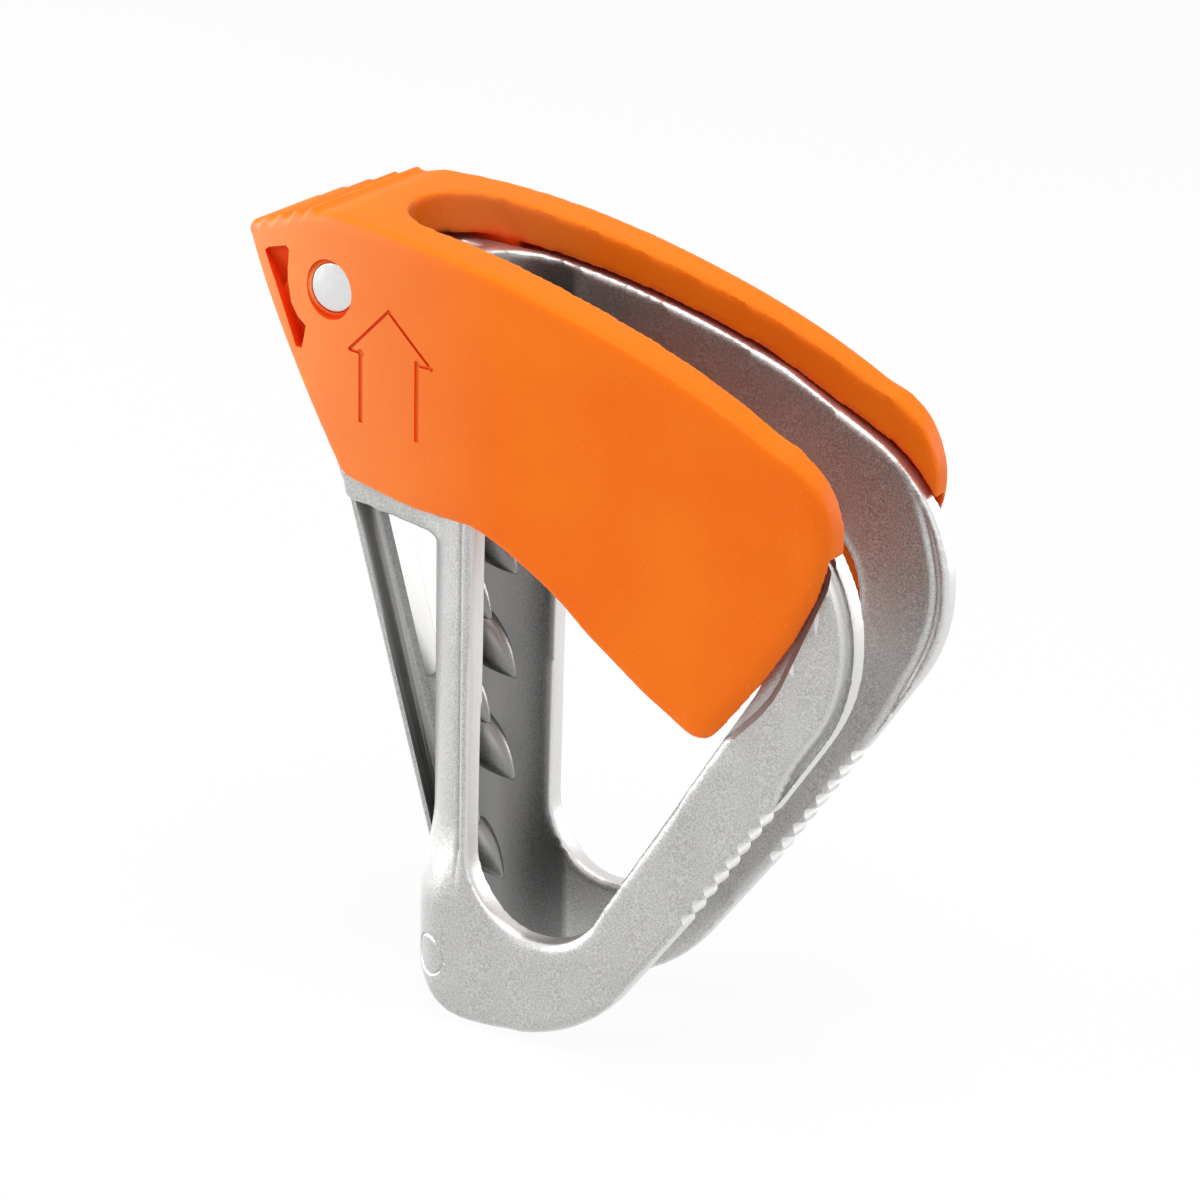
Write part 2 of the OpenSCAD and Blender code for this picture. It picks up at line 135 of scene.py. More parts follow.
def belt(circles):
    """Places along a belt that runs counter-clockwise round three circles."""

    def leave(p, q):
        dx, dz = q[0][0] - p[0][0], q[0][1] - p[0][1]
        return atan2(dz, dx) - acos((p[1] - q[1]) / hypot(dx, dz))

    places, n = [], len(circles)
    for i in range(n):
        a0 = leave(circles[i - 1], circles[i])
        a1 = leave(circles[i], circles[(i + 1) % n])
        span = (a1 - a0) % (2 * pi)
        steps = max(2, ceil(span / 0.08))
        places += arc(circles[i][0], circles[i][1], a0 * 180 / pi, (a0 + span) * 180 / pi, steps)
    return places


def rise(value, low, high):
    """Goes softly from 0 at low to 1 at high."""
    share = min(1.0, max(0.0, (value - low) / (high - low)))
    return share * share * (3 - 2 * share)


def along_run(places, step=0.1):
    """A function that gives how far a place lies from a run of places, and how far along it."""
    dense, length = [], 0.0
    for (x0, z0), (x1, z1) in zip(places, places[1:]):
        size = hypot(x1 - x0, z1 - z0)
        count = max(1, ceil(size / step))
        for i in range(count):
            dense.append((x0 + (x1 - x0) * i / count, z0 + (z1 - z0) * i / count, length + size * i / count))
        length += size
    tree = KDTree(len(dense))
    for i, (x, z, _) in enumerate(dense):
        tree.insert((x, z, 0), i)
    tree.balance()

    def nearest(x, z):
        _, i, gap = tree.find((x, z, 0))
        return gap, dense[i][2]

    return nearest


def plate_top(x):
    """Height of the plates' top edge."""
    return -49.1 + sqrt(88.0**2 - (x + 15.5) ** 2)


def lever_top(x):
    """Height of the lever's back."""
    return -47.6 + sqrt(90.5**2 - (x + 18.6) ** 2)


def lever_half(x):
    """Half the lever's width, which narrows towards the nose."""
    return LEVER_HALF - (LEVER_HALF - NOSE_HALF) * exp(-(x - NOSE_X) / NOSE_TAPER)


def fin_left(z):
    """Where the slanting edge of the fin lies."""
    return -15 - (z - 19) * 0.277


def ledge_face(z, x):
    """Height of the sloping ledge, from its height at the fin."""
    left = fin_left(z)
    return z - LEDGE_FALL * (x - left) / (LEDGE_END - left)


def limb_outline(left, top_from):
    """The side plate's outline, cut off at a left edge."""
    return (
        arc((-0.3, -17.4), 7, 180, 272, 12)
        + arc((2.4, -9.3), 15, -88, -39, 14)
        + arc((4.13, 1.27), 20, -38, -33.8, 3)
        + arc(BEND_AT, BEND_R, -33.8, 58, 30)
        + [(x, plate_top(x)) for x in range(20, top_from, -2)]
        + [(left, plate_top(left)), (left, 20)]
    )


def lever_outline():
    """The lever's outline from the nose along the underside, round the end and back along the top."""
    foot = (-10.9, 22.6)
    return (
        [(NOSE_X, 39.6), (NOSE_X + 0.1, 38.3)]
        + arc(foot, 1.4, 215, 262, 6)
        + [(-4.5, 20.0), (1.2, 19.6)]
        + arc((-9.5, -9.1), 30.6, 66, 46, 10)
        + arc((21.8, 7.8), 1.9, 230, 320, 8)
        + [(25.1, 9.0), (27.6, 12.2), (30, 16), (31.9, 19.9), (32.6, 22.0), (32.8, 23.5), (32.75, 24.5)]
        + [(32.6, 25.4), (32.25, 26.4), (31.8, 27.4), (31.0, 28.55), (29.95, 29.45), (28.7, 30.4)]
        + [(x, lever_top(x) + 0.5 * rise(x, 6, 26)) for x in [27.25 - 1.75 * i for i in range(24)]]
        + [PAD_END]
    )


def under_cap():
    """What lies under the lever's cap: the room for the frame."""
    return (
        [(x, plate_top(x) + STOP_GAP) for x in range(-10, 20, 4)]
        + arc(BEND_AT, BEND_R + STOP_GAP, 58, 26, 12)
        + [(60, 18), (60, -40), (-40, -40), (-40, 28)]
        + [(NOSE_X + 1.2, 36.3), (-16.5, 39.6)]
        + [(-14, PIVOT[1] + CHEEK_R + 0.5), (-12, PIVOT[1] + CHEEK_R + 0.5)]
    )


# ---- Solids ----
def side_prism(shape, places, y0, y1):
    """Stretches a side-view outline from y0 to y1, and gives its corners."""
    face = shape.faces.new([shape.verts.new((x, y0, z)) for x, z in places])
    grown = bmesh.ops.extrude_face_region(shape, geom=[face])["geom"]
    moved = [v for v in grown if isinstance(v, bmesh.types.BMVert)]
    bmesh.ops.translate(shape, verts=moved, vec=(0, y1 - y0, 0))
    return list(face.verts) + moved


def plan_prism(shape, places, z0, z1):
    """Stretches an outline seen from above from z0 to z1."""
    face = shape.faces.new([shape.verts.new((x, y, z0)) for x, y in places])
    grown = bmesh.ops.extrude_face_region(shape, geom=[face])["geom"]
    moved = [v for v in grown if isinstance(v, bmesh.types.BMVert)]
    bmesh.ops.translate(shape, verts=moved, vec=(0, 0, z1 - z0))


def round_bar(shape, start, end, r1, r2, segments=48):
    """A bar, or a cone, from one place to another."""
    start, end = Vector(start), Vector(end)
    run = end - start
    turn = run.to_track_quat("Z", "Y").to_matrix().to_4x4()
    place = Matrix.Translation((start + end) / 2) @ turn
    return bmesh.ops.create_cone(
        shape, cap_ends=True, segments=segments, radius1=r1, radius2=r2, depth=run.length, matrix=place
    )["verts"]


def solid(name, shape):
    """A closed solid as an object, its faces turned outwards."""
    bmesh.ops.remove_doubles(shape, verts=shape.verts, dist=1e-5)
    bmesh.ops.recalc_face_normals(shape, faces=shape.faces)
    mesh = bpy.data.meshes.new(name)
    shape.to_mesh(mesh)
    shape.free()
    made = bpy.data.objects.new(name, mesh)
    bpy.context.scene.collection.objects.link(made)
    return made


def settle(piece):
    """Applies every modifier on a piece."""
    depsgraph = bpy.context.evaluated_depsgraph_get()
    mesh = bpy.data.meshes.new_from_object(piece.evaluated_get(depsgraph))
    piece.modifiers.clear()
    old, piece.data = piece.data, mesh
    bpy.data.meshes.remove(old)


def combine(piece, other, operation):
    """Cuts a tool from a piece, adds it, or keeps what both share, and uses the tool up."""
    step = piece.modifiers.new(operation.title(), "BOOLEAN")
    step.object, step.operation, step.solver = other, operation, "MANIFOLD"
    settle(piece)
    mesh = other.data
    bpy.data.objects.remove(other)
    bpy.data.meshes.remove(mesh)


def weld(piece, grid):
    """Joins overlapping solids in one skin on a fine grid."""
    step = piece.modifiers.new("Weld", "REMESH")
    step.mode, step.voxel_size, step.adaptivity = "VOXEL", grid, 0.0
    settle(piece)


def ease(piece, rounds, share=None):
    """Rounds edges and inner corners, where share is given only as much as it says at a place."""
    step = piece.modifiers.new("Ease", "SMOOTH")
    step.factor, step.iterations = 0.5, rounds
    if share:
        group = piece.vertex_groups.new(name="ease")
        for vertex in piece.data.vertices:
            group.add([vertex.index], share(*vertex.co), "REPLACE")
        step.vertex_group = group.name
    settle(piece)
    piece.vertex_groups.clear()


def dress(piece, finish, sharp_over=38.0):
    """Brings a finished piece to metres, shades it and gives it its material."""
    shape = bmesh.new()
    shape.from_mesh(piece.data)
    bmesh.ops.scale(shape, verts=shape.verts, vec=(MM, MM, MM))
    for face in shape.faces:
        face.smooth = True
    for edge in shape.edges:
        edge.smooth = len(edge.link_faces) == 2 and edge.calc_face_angle(0.0) < radians(sharp_over)
    shape.to_mesh(piece.data)
    shape.free()
    piece.data.materials.clear()
    piece.data.materials.append(finish)


# ---- Materials ----
def linear(code):
    """An sRGB hex colour as linear red, green, blue and alpha."""
    parts = [int(code[i : i + 2], 16) / 255 for i in (1, 3, 5)]
    return [c / 12.92 if c <= 0.04045 else ((c + 0.055) / 1.055) ** 2.4 for c in parts] + [1.0]


def add(tree, kind, settings=None, links=None):
    """Adds a node, sets its properties and inputs, and links its inputs."""
    node = tree.nodes.new("ShaderNode" + kind)
    for name, value in (settings or {}).items():
        if isinstance(name, int) or name in node.inputs:
            node.inputs[name].default_value = value
        else:
            setattr(node, name, value)
    for name, source in (links or {}).items():
        tree.links.new(source, node.inputs[name])
    return node


def remap(tree, value, low, high, to_low=0.0, to_high=1.0):
    """Stretches the span from low to high to a new span, held at its ends."""
    spans = {"From Min": low, "From Max": high, "To Min": to_low, "To Max": to_high}
    return add(tree, "MapRange", spans, {"Value": value}).outputs["Result"]


def join_values(tree, operation, first, second):
    """Works one value out of two."""
    return add(tree, "Math", {"operation": operation}, {0: first, 1: second}).outputs["Value"]


def tint(tree, share, base, colour):
    """Mixes a plain colour in another by a share."""
    return add(tree, "Mix", {"data_type": "RGBA", 7: colour}, {0: share, 6: base}).outputs[2]


def facing_sideways(tree, normal):
    """How much a face looks to the left or the right, from 0 to 1, and the parts of its normal."""
    facing = add(tree, "SeparateXYZ", links={"Vector": normal}).outputs
    return add(tree, "Math", {"operation": "ABSOLUTE"}, {0: facing["Y"]}).outputs["Value"], facing


def new_material(name):
    """An empty material and its node tree."""
    made = bpy.data.materials.new(name)
    made.use_nodes = True
    made.node_tree.nodes.clear()
    return made, made.node_tree


def blasted_casting(settings):
    """Cast metal, bead blasted and tumbled: an even grey, with rubbed edges and painted highlights brighter outside,
    and painted shade in recesses and the channel.
    """
    made, tree = new_material("bead_blasted_casting")
    coordinates = add(tree, "TexCoord")
    place = coordinates.outputs["Object"]
    # Blasting leaves dents about 0.15 mm across
    grit = add(tree, "TexNoise", {"Scale": 6600.0, "Detail": 2.0, "Roughness": 0.6}, {"Vector": place})
    # Slow drift in tone from the flow of the casting, some 6 mm long
    drift = add(tree, "TexNoise", {"Scale": 160.0, "Detail": 2.0}, {"Vector": place})
    mixed = add(tree, "Math", {"operation": "MULTIPLY_ADD", 1: 0.2}, {0: drift.outputs["Fac"], 2: grit.outputs["Fac"]})
    tone = add(tree, "ValToRGB", links={"Fac": mixed.outputs["Value"]})
    ramp = tone.color_ramp
    ramp.elements[0].position, ramp.elements[1].position = 0.43, 0.77
    ramp.elements[0].color = linear("#a9a8a6")
    ramp.elements[1].color = linear("#cfcecc")
    # Tumbling stones rub the edges brighter, partly rubbed metal and partly painted highlight; the rounded back is
    # tinted brighter than the flat sides, a painted highlight
    edge = add(tree, "NewGeometry").outputs["Pointiness"]
    sideways, _ = facing_sideways(tree, coordinates.outputs["Normal"])
    sharp = remap(tree, edge, 0.53, 0.58, to_high=0.7)
    back = remap(tree, sideways, 0.96, 0.65, to_high=0.6)
    rubbed_edge_and_highlight = join_values(tree, "MAXIMUM", sharp, back)
    bright = tint(tree, rubbed_edge_and_highlight, tone.outputs["Color"], linear("#efeeec"))
    # Painted shade: the channel, the pockets and the creases are darkened where ambient occlusion and concave
    # pointiness find them
    hollow = add(tree, "AmbientOcclusion", {"samples": 8, "Distance": 0.011, "only_local": True})
    hollow_shade = remap(tree, hollow.outputs["AO"], 0.4, 0.95, to_low=0.62)
    crease = remap(tree, edge, 0.43, 0.485, to_low=0.6)
    reach = join_values(tree, "MULTIPLY", hollow_shade, crease)
    # Painted shade: the channel's wall and the teeth are darkened, out to a little over its radius
    plan = add(tree, "VectorMath", {"operation": "MULTIPLY_ADD", 1: (1, 1, 0), 2: (-CHANNEL_X * MM, 0, 0)}, {0: place})
    away = add(tree, "VectorMath", {"operation": "LENGTH"}, {0: plan.outputs["Vector"]})
    radius = CHANNEL_R * MM
    channel_shade = remap(tree, away.outputs["Value"], radius * 1.015, radius * 1.04, to_low=0.42)
    painted_shade = join_values(tree, "MULTIPLY", reach, channel_shade)
    colour = add(
        tree,
        "Mix",
        {"data_type": "RGBA", "blend_type": "MULTIPLY", 0: 1.0},
        {6: bright, 7: painted_shade},
    )
    rough = remap(tree, grit.outputs["Fac"], 0.3, 0.7, 0.34, 0.44)
    bump = add(tree, "Bump", {"Strength": settings.grain_depth, "Distance": 0.00003}, {"Height": grit.outputs["Fac"]})
    shader = add(
        tree,
        "BsdfPrincipled",
        {"Metallic": 1.0},
        {"Base Color": colour.outputs[2], "Roughness": rough, "Normal": bump.outputs["Normal"]},
    )
    add(tree, "OutputMaterial", links={"Surface": shader.outputs["BSDF"]})
    return made


def moulded_polyamide(settings):
    """Glass-filled polyamide from a spark-eroded mould: even orange, a dull sheen, tiny pale specks, with painted shade
    in slots and grooves, a painted sheen near the nose and painted light on the top faces.
    """
    made, tree = new_material("moulded_orange_polyamide")
    coordinates = add(tree, "TexCoord")
    place = coordinates.outputs["Object"]
    # Spark erosion gives a grain of about 0.2 mm, drawn a little coarser
    grain = add(tree, "TexNoise", {"Scale": 2600.0, "Detail": 3.0, "Roughness": 0.55}, {"Vector": place})
    flecks = add(tree, "TexVoronoi", {"Scale": 1500.0, "Randomness": 1.0}, {"Vector": place})
    fleck = remap(tree, flecks.outputs["Distance"], 0.12, 0.04, to_high=0.35)
    flow = add(tree, "TexNoise", {"Scale": 90.0, "Detail": 2.0}, {"Vector": place})
    tone = add(tree, "ValToRGB", links={"Fac": flow.outputs["Fac"]})
    ramp = tone.color_ramp
    ramp.elements[0].position, ramp.elements[1].position = 0.3, 0.75
    ramp.elements[0].color = list(settings.deep) + [1.0]
    ramp.elements[1].color = list(settings.body) + [1.0]
    speckled = tint(tree, fleck, tone.outputs["Color"], linear("#ffb071"))
    # Painted shade: slots and grooves, found by ambient occlusion, are tinted a redder orange
    hollow = add(tree, "AmbientOcclusion", {"samples": 8, "Distance": 0.003})
    depth = remap(tree, hollow.outputs["AO"], 0.93, 0.5)
    # Painted sheen: side faces near the nose are tinted pale, as a soft highlight there
    along = add(tree, "SeparateXYZ", links={"Vector": place})
    nose_sheen = remap(tree, along.outputs["X"], 0.004, -0.02, to_high=0.38)
    sideways, facing = facing_sideways(tree, coordinates.outputs["Normal"])
    painted_sheen = join_values(tree, "MULTIPLY", nose_sheen, sideways)
    sheened = tint(tree, painted_sheen, speckled, linear("#f8aa7a"))
    # Painted light: upward faces are tinted yellower, as if lit from above
    top_light = remap(tree, facing["Z"], 0.35, 0.95, to_high=0.55)
    top_lit = tint(tree, top_light, sheened, linear("#fa8c06"))
    slot_floor_shade = add(tree, "Attribute", {"attribute_name": "slot_floor_shade"})
    painted_groove_shade = join_values(tree, "MAXIMUM", depth, slot_floor_shade.outputs["Fac"])
    colour = tint(tree, painted_groove_shade, top_lit, list(settings.shade_colour) + [1.0])
    bump = add(tree, "Bump", {"Strength": 0.25, "Distance": 0.00004}, {"Height": grain.outputs["Fac"]})
    shader = add(
        tree,
        "BsdfPrincipled",
        {
            "Roughness": 0.5, "IOR": 1.53, "Specular IOR Level": 0.1,
            "Subsurface Weight": 0.08, "Subsurface Scale": 0.0012,
        },
        {"Base Color": colour, "Normal": bump.outputs["Normal"]},
    )
    shader.inputs["Subsurface Radius"].default_value = (1.0, 0.35, 0.1)
    add(tree, "OutputMaterial", links={"Surface": shader.outputs["BSDF"]})
    return made


def ground_steel(name, code, roughness):
    """Stainless steel, turned and ground: bright, with a fine uneven sheen."""
    made, tree = new_material(name)
    place = add(tree, "TexCoord").outputs["Object"]
    scratch = add(tree, "TexNoise", {"Scale": 2400.0, "Detail": 2.0}, {"Vector": place})
    bump = add(tree, "Bump", {"Strength": 0.12, "Distance": 0.00002}, {"Height": scratch.outputs["Fac"]})
    rough = remap(tree, scratch.outputs["Fac"], 0.3, 0.7, roughness - 0.05, roughness + 0.08)
    shader = add(
        tree,
        "BsdfPrincipled",
        {"Metallic": 1.0, "Base Color": linear(code)},
        {"Roughness": rough, "Normal": bump.outputs["Normal"]},
    )
    add(tree, "OutputMaterial", links={"Surface": shader.outputs["BSDF"]})
    return made


# ---- The casting ----
def channel_ring(z):
    """The channel's outside at a height: round above, square with round corners at the foot."""
    share = rise(-z, 7.0, 15.0)
    ring = []
    for i in range(120):
        a = 2 * pi * (i + 0.5) / 120
        tube = (CHANNEL_X + CHANNEL_OUT * cos(a), CHANNEL_OUT * sin(a))
        corner = (2.0 if cos(a) > 0 else -2.0, 2.9 if sin(a) > 0 else -2.9)
        square = (corner[0] + 5 * cos(a), corner[1] + 5 * sin(a))
        ring.append(tuple(t + (q - t) * share for t, q in zip(tube, square)))
    return ring


def bore_channel(piece):
    """Keeps a piece out of the round channel for the rope."""
    bore = bmesh.new()
    round_bar(bore, (CHANNEL_X, 0, -40), (CHANNEL_X, 0, 60), CHANNEL_R, CHANNEL_R, 96)
    combine(piece, solid("bore", bore), "DIFFERENCE")


def channel_solid():
    """The half-round channel and its foot."""
    shape = bmesh.new()
    heights = [-26] + [-16 + 1.0 * i for i in range(11)] + [0, 40]
    loops = []
    for z in heights:
        verts = [shape.verts.new((x, y, z)) for x, y in channel_ring(z)]
        loops.append([shape.edges.new((verts[i - 1], verts[i])) for i in range(len(verts))])
    for low, high in zip(loops, loops[1:]):
        bmesh.ops.bridge_loops(shape, edges=low + high)
    for loop in (loops[0], loops[-1]):
        bmesh.ops.edgeloop_fill(shape, edges=loop)
    body = solid("channel", shape)
    keep = bmesh.new()
    side_prism(keep, limb_outline(SPINE_LEFT, -8)[:-2] + [(SPINE_LEFT, plate_top(SPINE_LEFT))], -12, 12)
    combine(body, solid("keep", keep), "INTERSECT")
    bore_channel(body)
    front = bmesh.new()
    plan_prism(front, [(LIP_X, -20), (40, -20), (40, 20), (LIP_X, 20)], -40, 60)
    combine(body, solid("front", front), "DIFFERENCE")
    return body


def plate_solid(side):
    """One side plate with its eye, leaning outwards a little."""
    shape = bmesh.new()
    left = LIP_X - LIP_WIDTH
    places = [p for p in limb_outline(left, -1) if p[0] > left - 1e-6]
    places = [(left, -23.2)] + [p for p in places if p[0] > left + 0.05] + [(left, plate_top(left))]
    side_prism(shape, places, 0, side * PLATE_T)
    plate = solid("plate", shape)
    eye = bmesh.new()
    side_prism(eye, belt(EYE), -10, 10)
    combine(plate, solid("eye", eye), "DIFFERENCE")
    lean = Matrix.Rotation(side * SPLAY, 4, (0, 0, 1))
    about = Matrix.Translation((LIP_X, side * PLATE_IN, 0)) @ lean @ Matrix.Translation((-LIP_X, 0, 0))
    plate.data.transform(about)
    return plate


def fin_solid():
    """The fin behind the channel: a thin rim, a filleted pocket on each side and the window for a cord."""

    def right_of(rim, low, high):
        return [(fin_left(high) + rim, high), (-3, high), (-3, low), (fin_left(low) + rim, low)]

    shape = bmesh.new()
    side_prism(shape, right_of(0, FIN_TIP_Z, 18.2), -FIN_HALF_T, FIN_HALF_T)
    left = [e for e in shape.edges if all(v.co.x < -3.1 for v in e.verts)]
    rims = [e for e in left if abs(e.verts[0].co.y - e.verts[1].co.y) < 0.1]
    bmesh.ops.bevel(shape, geom=rims, offset=0.2, segments=3, profile=0.5, affect="EDGES", material=-1)
    fin = solid("fin", shape)
    for side in SIDES:
        pocket = bmesh.new()
        side_prism(pocket, right_of(FIN_RIM, -19, 17.4), side * WEB_HALF_T, side * 9)
        floor = [e for e in pocket.edges if all(abs(abs(v.co.y) - WEB_HALF_T) < 0.01 for v in e.verts)]
        bmesh.ops.bevel(pocket, geom=floor, offset=FIN_FILLET, segments=5, profile=0.5, affect="EDGES", material=-1)
        combine(fin, solid("pocket", pocket), "DIFFERENCE")
    window = bmesh.new()
    side_prism(window, right_of(FIN_WALL, WEB_TOP, 17.4), -9, 9)
    combine(fin, solid("window", window), "DIFFERENCE")
    bore_channel(fin)
    return fin


def ledge_solid():
    """The sloping ledge that the closed lever rests on."""
    shape = bmesh.new()
    left, low, end = fin_left(LEDGE_TOP), fin_left(LEDGE_BOTTOM), LEDGE_END + 1
    face = [(low, LEDGE_BOTTOM), (end, LEDGE_BOTTOM - LEDGE_FALL), (end, LEDGE_TOP - LEDGE_FALL), (left, LEDGE_TOP)]
    side_prism(shape, face, -12, 12)
    ledge = solid("ledge", shape)
    half = [(-18, 3.4), (-14.5, 4.0), (-6.5, 4.7), (LIP_X - 0.1, CHANNEL_OUT)]
    plan = bmesh.new()
    plan_prism(plan, [(x, -y) for x, y in half] + [(x, y) for x, y in reversed(half)], 0, 40)
    combine(ledge, solid("plan", plan), "INTERSECT")
    bore_channel(ledge)
    return ledge


def head_solid():
    """The two cheeks that hold the pin, and the web between them."""
    shape = bmesh.new()
    left, head_left = fin_left(LEDGE_TOP) + 1.6, PIVOT[0] - CHEEK_R
    bend = (head_left + 0.9, 26.6)
    cheek = (
        arc(PIVOT, CHEEK_R, 180, 60, 14)
        + [(x, plate_top(x) - 0.2) for x in (-10, -8, -6, -4)]
        + [(-4, ledge_face(LEDGE_TOP, -4) - 0.4), (left, ledge_face(LEDGE_TOP, left) - 0.4), bend]
    )
    for side in SIDES:
        side_prism(shape, cheek, side * CHEEK_IN, side * CHEEK_OUT)
    web = [(left, 19.5), (left + 1.3, 19.5), (bend[0] + 1.3, bend[1]), (bend[0] + 1.3, 29), (bend[0], 29), bend]
    head = solid("head", shape)
    bore_channel(head)
    shape = bmesh.new()
    side_prism(shape, web, -CHEEK_IN - 0.2, CHEEK_IN + 0.2)
    return [head, solid("head_web", shape)]


def join(parts, name):
    """Gathers solids in one mesh."""
    shape = bmesh.new()
    for part in parts:
        shape.from_mesh(part.data)
        mesh = part.data
        bpy.data.objects.remove(part)
        bpy.data.meshes.remove(mesh)
    mesh = bpy.data.meshes.new(name)
    shape.to_mesh(mesh)
    shape.free()
    made = bpy.data.objects.new(name, mesh)
    bpy.context.scene.collection.objects.link(made)
    return made


def limb_places():
    """The line of the grip notches: direction, and the place of the first notch."""
    run = Vector((cos(LIMB_ANGLE), sin(LIMB_ANGLE)))
    end = Vector(BEND_AT) + BEND_R * Vector((sin(LIMB_ANGLE), -cos(LIMB_ANGLE)))
    return run, end - NOTCH_START * run


def round_eye(casting):
    """Rounds the eye's edges well on the outer faces, where the rope and the connector rub."""
    around = belt(EYE)
    eye = along_run(around + around[:1])

    def share(x, y, z):
        off = abs(y) - PLATE_IN - (x - LIP_X) * sin(SPLAY)
        if off < 0.8 or x < 0.5:
            return 0.0
        return rise(off, 0.8, 1.8) * rise(x, 0.5, 3.5) * (1 - rise(eye(x, z)[0], 0.9, 2.0))

    ease(casting, EYE_ROUNDS, share)


def press_in(casting):
    """Presses the cast relief in the faces: rim grooves, lip crease and ejector mark."""
    run, first = limb_places()
    rim = along_run(
        [tuple(first + 0.6 * run)]
        + arc(BEND_AT, BEND_R, -33.8, 58, 30)
        + [(x, plate_top(x)) for x in range(20, -1, -4)]
    )
    last = first - (NOTCHES - 1) * NOTCH_PITCH * run
    tail = along_run([tuple(last - 0.8 * run)] + arc((2.4, -9.3), 15, -39, -75, 12))
    lean = {side: (cos(side * SPLAY), sin(side * SPLAY)) for side in SIDES}

    def lines(x, z):
        gap, way = rim(x, z)
        out_gap = gap - RIM_IN * rise(way, 0, 5)
        in_gap = gap - 1.0 * rise(way, 0, 11) * (1 - rise(way, 19, 30))
        return way, out_gap, in_gap, tail(x, z)

    def depth(x, z, outer):
        way, out_gap, in_gap, (tail_gap, tail_way) = lines(x, z)
        fresh = rise(way, 0, 3)
        if not outer:
            return FAINT_GROOVE * fresh * (1 - rise(way, 20, 28)) * exp(-((in_gap / 0.32) ** 2))
        groove = RIM_GROOVE * fresh * exp(-((out_gap / (0.45 if out_gap > 0 else 0.5)) ** 2))
        fade = FAINT_GROOVE * rise(tail_way, 0, 2) * (1 - rise(tail_way, 7, 12))
        return groove + fade * exp(-(((tail_gap - TAIL_IN) / 0.26) ** 2))

    def flat_place(co):
        side = 1 if co.y > 0 else -1
        c, s = lean[side]
        dx, dy = co.x - LIP_X, co.y - side * PLATE_IN
        return side, LIP_X + dx * c + dy * s, side * (dy * c - dx * s)

    def ring_gap(co):
        """How far a place lies from the round mark that the ejector left at the foot."""
        off = co - EJECTOR_AT
        off -= EJECTOR_AXIS * off.dot(EJECTOR_AXIS)
        return abs(off.length - EJECTOR_R)

    def near_mark(co):
        return co.x < -1 and co.y < -4 and co.z < -15

    shape = bmesh.new()
    shape.from_mesh(casting.data)
    busy, mark = set(), set()
    for face in shape.faces:
        centre = face.calc_center_median()
        if centre.x > LIP_X + 0.2 and abs(centre.y) > PLATE_IN - 0.5:
            _, x, _ = flat_place(centre)
            _, out_gap, in_gap, (tail_gap, _) = lines(x, centre.z)
            if min(abs(out_gap), abs(in_gap), abs(tail_gap - TAIL_IN)) < 0.75:
                busy.update(face.edges)
        elif abs(centre.x - LIP_CREASE_X) < 0.7 and abs(centre.y) > PLATE_IN:
            busy.update(face.edges)
        elif near_mark(centre) and ring_gap(centre) < 0.5:
            mark.update(face.edges)
    bmesh.ops.subdivide_edges(shape, edges=list(busy), cuts=1, use_grid_fill=True)
    bmesh.ops.subdivide_edges(shape, edges=[e for e in mark if e.is_valid], cuts=3, use_grid_fill=True)
    shape.normal_update()
    for vertex in shape.verts:
        co = vertex.co
        if co.x > LIP_X and abs(co.y) > PLATE_IN - 0.5:
            side, x, off = flat_place(co)
            facing = vertex.normal.y * side
            if abs(facing) > 0.35:
                outer = facing > 0
                share = rise(abs(facing), 0.35, 0.8)
                co.y -= side * (1 if outer else -1) * share * depth(x, co.z, outer)
        elif abs(co.x - LIP_CREASE_X) < 0.8 and abs(co.y) > PLATE_IN + 0.5:
            side = 1 if co.y > 0 else -1
            share = rise(vertex.normal.y * side, 0.3, 0.8) * rise(co.z, -13.7, -8)
            co.y -= side * CREASE_DEPTH * share * exp(-(((co.x - LIP_CREASE_X) / 0.3) ** 2))
        elif near_mark(co):
            co += EJECTOR_AXIS * -MARK_DEPTH * exp(-((ring_gap(co) / 0.1) ** 2))
    shape.to_mesh(casting.data)
    shape.free()


def cut_seats(casting):
    """Sinks the outer faces of the plates a little where the lever's arms lie, up to a straight ramp."""
    ramp = Vector((4.6, 10.6)).normalized()
    out = Vector((ramp.y, -ramp.x))
    low = Vector(SEAT_RAMP)
    high = low + 14.5 * ramp
    for side in SIDES:
        shape = bmesh.new()
        edge = [Vector(p) for p in SEAT_EDGE] + [low + 0.3 * ramp, high]
        bed = [tuple(p - 0.3 * out) for p in edge] + [(high.x, 32), (6, 32), (6, 5)]
        verts = side_prism(shape, bed, side * (PLATE_T - SEAT_DEPTH), side * (PLATE_T + SEAT_DEPTH))
        for vertex in verts:
            if abs(vertex.co.y) > PLATE_T:
                vertex.co += SEAT_SLOPE * Vector((out.x, 0, out.y))
        # A squared floor keeps the brightening of the corners, rubbed edges and painted highlight, off the flat of the
        # seat
        for axis, reach in ((Vector((1, 0, 0)), 38), (Vector((0, 0, 1)), 32)):
            for step in range(1, int((reach - 5) / SEAT_GRID)):
                everything = shape.verts[:] + shape.edges[:] + shape.faces[:]
                bmesh.ops.bisect_plane(shape, geom=everything, plane_co=axis * (5 + step * SEAT_GRID), plane_no=axis)
        tool = solid("seat", shape)
        lean = Matrix.Rotation(side * SPLAY, 4, (0, 0, 1))
        tool.data.transform(Matrix.Translation((LIP_X, side * PLATE_IN, 0)) @ lean @ Matrix.Translation((-LIP_X, 0, 0)))
        combine(casting, tool, "DIFFERENCE")


